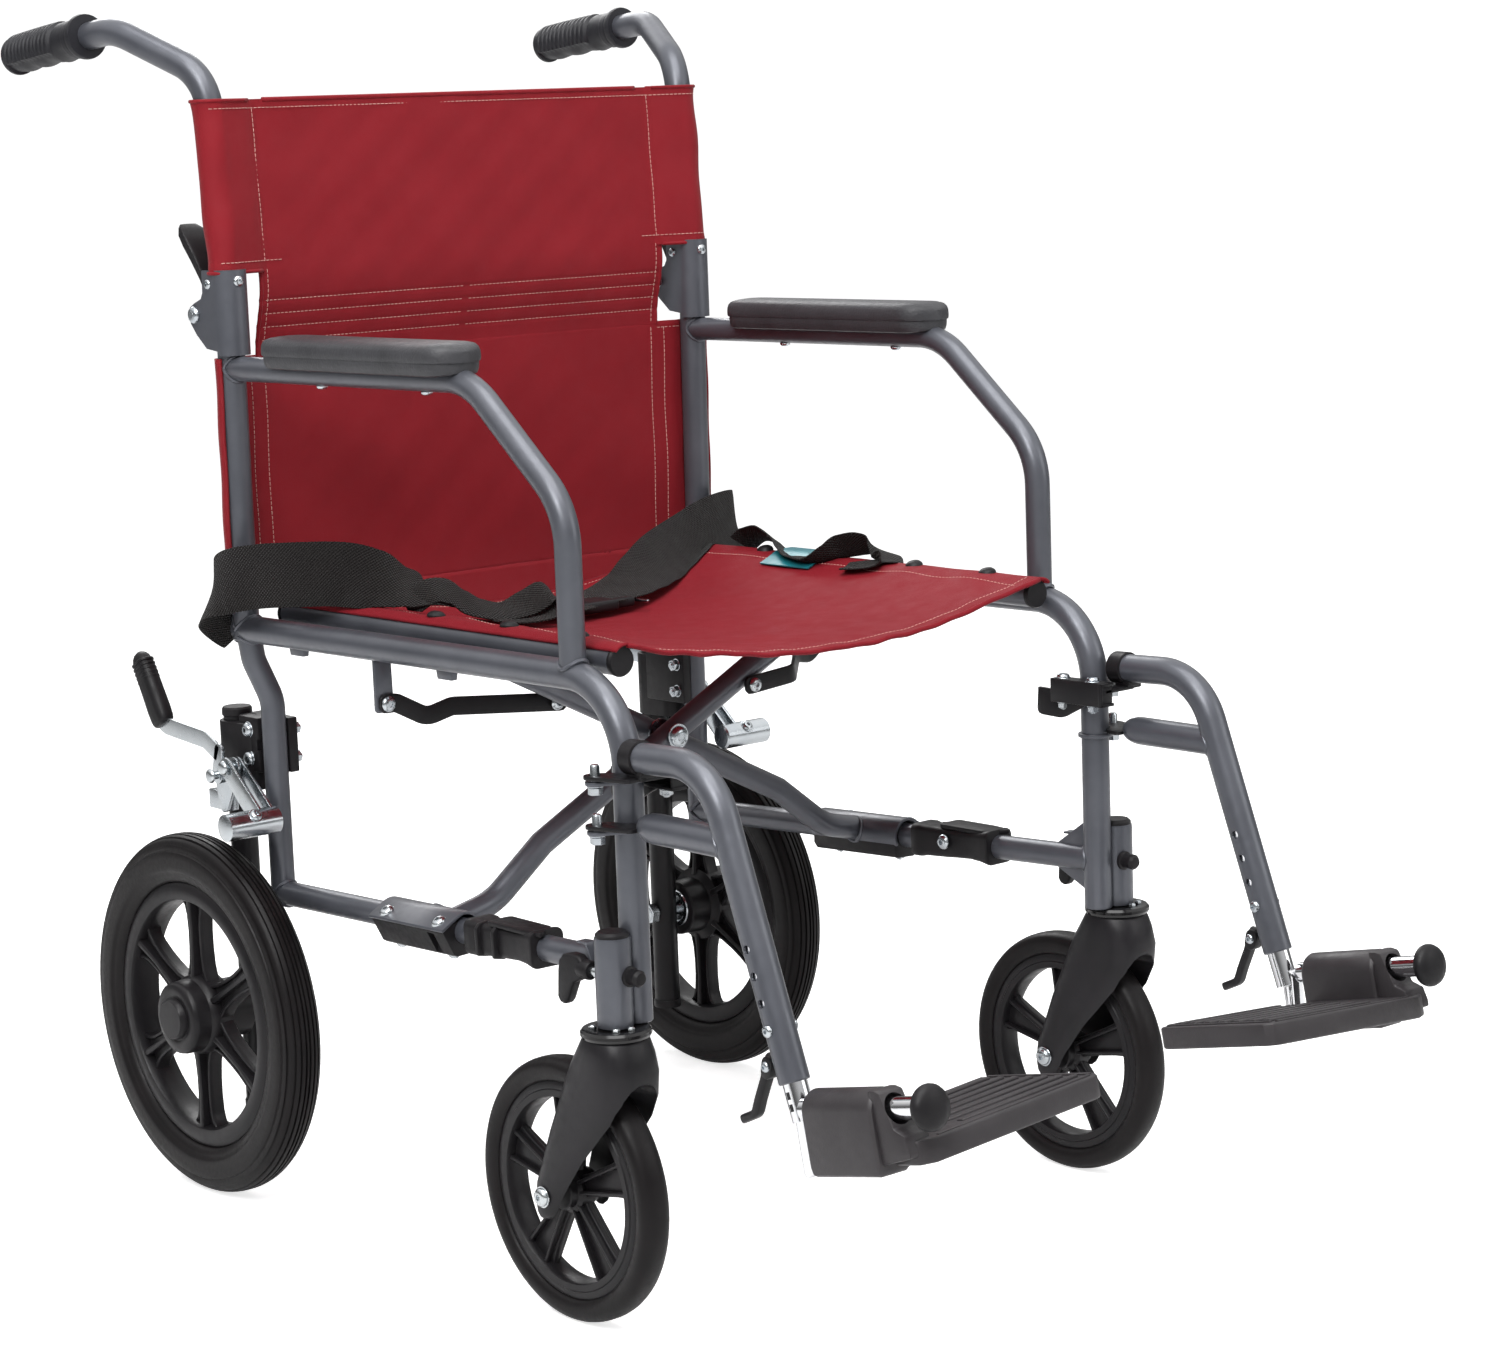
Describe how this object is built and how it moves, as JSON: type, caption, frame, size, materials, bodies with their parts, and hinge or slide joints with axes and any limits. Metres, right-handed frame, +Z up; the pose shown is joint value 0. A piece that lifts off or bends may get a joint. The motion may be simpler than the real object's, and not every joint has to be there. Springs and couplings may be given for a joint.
{
  "type": "transport wheelchair",
  "caption": "Folding transport wheelchair with cross brace, fabric seat and back, swing-away footrests, casters, brakes and a folding back",
  "frame": {"origin": "on the floor, midway between the two sides and midway along the overall length", "axes": "+Z up, +Y toward the rear of the chair (push handles), -X the seated person's right"},
  "size_m": [0.618, 1.0754, 0.9808],
  "materials": {
    "frame": "satin powder coat over welded steel tube",
    "pad": "moulded, fine grained",
    "black_steel": "black satin paint",
    "black_plastic": "moulded, slotted",
    "zinc": "zinc plated",
    "tyre": "solid moulded, ribbed tread",
    "rim": "moulded spokes",
    "chrome": "polished",
    "footplate": "moulded, ribbed",
    "grip": "soft, ribbed",
    "webbing": "woven webbing",
    "cloth": "woven nylon with stitched seams"
  },
  "bodies": {
    "frame_right": {"side_frame_r": "frame", "hinge_bracket_r": "frame", "arm_pad_r": "pad", "wheel_post_r": "black_steel", "wheel_post_bracket_r": "black_plastic", "rear_axle_r": "zinc", "brake_base_r": "zinc", "rail_clip_r": "black_plastic", "belt_r": "webbing", "back_lower": "cloth"},
    "frame_left": {"side_frame_l": "frame", "hinge_bracket_l": "frame", "arm_pad_l": "pad", "wheel_post_l": "black_steel", "wheel_post_bracket_l": "black_plastic", "rear_axle_l": "zinc", "brake_base_l": "zinc", "rail_clip_l": "black_plastic", "belt_l": "webbing"},
    "cross_a": {"brace_a": "frame", "brace_bolt": "zinc", "seat_sling": "cloth"},
    "cross_b": {"brace_b": "frame"},
    "stay_right": {"stay_r": "black_steel"},
    "rear_wheel_right": {"rear_tyre_r": "tyre", "rear_rim_r": "rim"},
    "caster_fork_right": {"caster_fork_r": "black_steel"},
    "caster_wheel_right": {"caster_tyre_r": "tyre", "caster_rim_r": "rim"},
    "hanger_right": {"hanger_r": "frame"},
    "latch_right": {"hanger_latch_r": "black_plastic"},
    "extension_right": {"extension_r": "chrome", "stub_cap_r": "black_plastic"},
    "height_lever_right": {"height_lever_r": "black_steel"},
    "footplate_right": {"footplate_r": "footplate"},
    "brake_lever_right": {"brake_lever_r": "zinc", "brake_grip_r": "black_plastic"},
    "brake_shoe_right": {"brake_shoe_r": "zinc"},
    "cane_right": {"cane_r": "frame", "grip_r": "grip", "back_upper": "cloth"},
    "back_release_right": {"back_release_r": "black_plastic"},
    "stay_left": {"stay_l": "black_steel"},
    "rear_wheel_left": {"rear_tyre_l": "tyre", "rear_rim_l": "rim"},
    "caster_fork_left": {"caster_fork_l": "black_steel"},
    "caster_wheel_left": {"caster_tyre_l": "tyre", "caster_rim_l": "rim"},
    "hanger_left": {"hanger_l": "frame"},
    "latch_left": {"hanger_latch_l": "black_plastic"},
    "extension_left": {"extension_l": "chrome", "stub_cap_l": "black_plastic"},
    "height_lever_left": {"height_lever_l": "black_steel"},
    "footplate_left": {"footplate_l": "footplate"},
    "brake_lever_left": {"brake_lever_l": "zinc", "brake_grip_l": "black_plastic"},
    "brake_shoe_left": {"brake_shoe_l": "zinc"},
    "cane_left": {"cane_l": "frame", "grip_l": "grip"},
    "back_release_left": {"back_release_l": "black_plastic"}
  },
  "joints": [
    {"name": "fold", "type": "hinge", "parent": "frame_right", "child": "cross_a", "pos_m": [-0.2334, 0.03909, 0.2644], "axis": [0, -1, 0], "range_deg": [0, 27], "deforming": ["seat_sling", "back_lower", "belt_r", "belt_l"]},
    {"name": "cross_pivot", "type": "hinge", "parent": "cross_a", "child": "cross_b", "pos_m": [0, 0.0511, 0.3825], "axis": [0, -1, 0], "range_deg": [-54, 0]},
    {"name": "close", "type": "hinge", "parent": "cross_b", "child": "frame_left", "pos_m": [0.2334, 0.0627, 0.2644], "axis": [0, -1, 0], "range_deg": [0, 27]},
    {"name": "stay_right", "type": "hinge", "parent": "frame_right", "child": "stay_right", "pos_m": [-0.236, 0.1011, 0.434], "axis": [0, -1, 0], "range_deg": [0, 54]},
    {"name": "rear_wheel_spin_right", "type": "hinge", "parent": "frame_right", "child": "rear_wheel_right", "pos_m": [-0.273, 0.33309, 0.1525], "axis": [1, 0, 0], "continuous": true},
    {"name": "caster_swivel_right", "type": "hinge", "parent": "frame_right", "child": "caster_fork_right", "pos_m": [-0.262, -0.2073, 0.26], "axis": [0, 0, 1], "continuous": true},
    {"name": "caster_spin_right", "type": "hinge", "parent": "caster_fork_right", "child": "caster_wheel_right", "pos_m": [-0.262, -0.1503, 0.1], "axis": [1, 0, 0], "continuous": true},
    {"name": "hanger_swing_right", "type": "hinge", "parent": "frame_right", "child": "hanger_right", "pos_m": [-0.267, -0.20191, 0.402], "axis": [0, 0, -1], "range_deg": [0, 90]},
    {"name": "latch_turn_right", "type": "hinge", "parent": "hanger_right", "child": "latch_right", "pos_m": [-0.2215, -0.1924, 0.412], "axis": [0, 0, 1], "range_deg": [0, 12]},
    {"name": "leg_length_right", "type": "slide", "parent": "hanger_right", "child": "extension_right", "axis": [0, -0.348, -0.9375], "range_m": [0, 0.0576]},
    {"name": "height_clamp_right", "type": "hinge", "parent": "hanger_right", "child": "height_lever_right", "pos_m": [-0.2504, -0.36371, 0.23], "axis": [1, 0, 0], "range_deg": [0, 35]},
    {"name": "footplate_flip_right", "type": "hinge", "parent": "extension_right", "child": "footplate_right", "pos_m": [-0.257, -0.40391, 0.208], "axis": [0, -0.9792, 0.2028], "range_deg": [0, 88]},
    {"name": "brake_right", "type": "hinge", "parent": "frame_right", "child": "brake_lever_right", "pos_m": [-0.249, 0.3251, 0.353], "axis": [1, 0, 0], "range_deg": [0, 28]},
    {"name": "brake_shoe_right", "type": "hinge", "parent": "frame_right", "child": "brake_shoe_right", "pos_m": [-0.249, 0.3051, 0.362], "axis": [1, 0, 0], "range_deg": [0, 23.8]},
    {"name": "back_fold", "type": "hinge", "parent": "frame_right", "child": "cane_right", "pos_m": [-0.243, 0.3101, 0.735], "axis": [-1, 0, 0], "range_deg": [0, 150], "deforming": ["back_upper"]},
    {"name": "back_release_right", "type": "hinge", "parent": "cane_right", "child": "back_release_right", "pos_m": [-0.243, 0.3051, 0.772], "axis": [-1, 0, 0], "range_deg": [0, 12]},
    {"name": "stay_left", "type": "hinge", "parent": "frame_left", "child": "stay_left", "pos_m": [0.236, 0.1011, 0.434], "axis": [0, 1, 0], "range_deg": [0, 54]},
    {"name": "rear_wheel_spin_left", "type": "hinge", "parent": "frame_left", "child": "rear_wheel_left", "pos_m": [0.273, 0.33309, 0.1525], "axis": [1, 0, 0], "continuous": true},
    {"name": "caster_swivel_left", "type": "hinge", "parent": "frame_left", "child": "caster_fork_left", "pos_m": [0.262, -0.2073, 0.26], "axis": [0, 0, 1], "continuous": true},
    {"name": "caster_spin_left", "type": "hinge", "parent": "caster_fork_left", "child": "caster_wheel_left", "pos_m": [0.262, -0.1503, 0.1], "axis": [1, 0, 0], "continuous": true},
    {"name": "hanger_swing_left", "type": "hinge", "parent": "frame_left", "child": "hanger_left", "pos_m": [0.267, -0.20191, 0.402], "axis": [0, 0, 1], "range_deg": [0, 90]},
    {"name": "latch_turn_left", "type": "hinge", "parent": "hanger_left", "child": "latch_left", "pos_m": [0.2215, -0.1924, 0.412], "axis": [0, 0, -1], "range_deg": [0, 12]},
    {"name": "leg_length_left", "type": "slide", "parent": "hanger_left", "child": "extension_left", "axis": [0, -0.348, -0.9375], "range_m": [0, 0.0576]},
    {"name": "height_clamp_left", "type": "hinge", "parent": "hanger_left", "child": "height_lever_left", "pos_m": [0.2504, -0.36371, 0.23], "axis": [1, 0, 0], "range_deg": [0, 35]},
    {"name": "footplate_flip_left", "type": "hinge", "parent": "extension_left", "child": "footplate_left", "pos_m": [0.257, -0.40391, 0.208], "axis": [0, 0.9792, -0.2028], "range_deg": [0, 88]},
    {"name": "brake_left", "type": "hinge", "parent": "frame_left", "child": "brake_lever_left", "pos_m": [0.249, 0.3251, 0.353], "axis": [1, 0, 0], "range_deg": [0, 28]},
    {"name": "brake_shoe_left", "type": "hinge", "parent": "frame_left", "child": "brake_shoe_left", "pos_m": [0.249, 0.3051, 0.362], "axis": [1, 0, 0], "range_deg": [0, 23.8]},
    {"name": "back_fold_left", "type": "hinge", "parent": "frame_left", "child": "cane_left", "pos_m": [0.243, 0.3101, 0.735], "axis": [-1, 0, 0], "range_deg": [0, 150]},
    {"name": "back_release_left", "type": "hinge", "parent": "cane_left", "child": "back_release_left", "pos_m": [0.243, 0.3051, 0.772], "axis": [-1, 0, 0], "range_deg": [0, 12]}
  ],
  "couplings": [
    {"joint": "cross_pivot", "follows": "fold", "ratio": -2},
    {"joint": "close", "follows": "fold", "ratio": 1},
    {"joint": "stay_right", "follows": "fold", "ratio": 2},
    {"joint": "brake_shoe_right", "follows": "brake_right", "ratio": 0.85},
    {"joint": "stay_left", "follows": "fold", "ratio": 2},
    {"joint": "brake_shoe_left", "follows": "brake_left", "ratio": 0.85},
    {"joint": "back_fold_left", "follows": "back_fold", "ratio": 1}
  ]
}
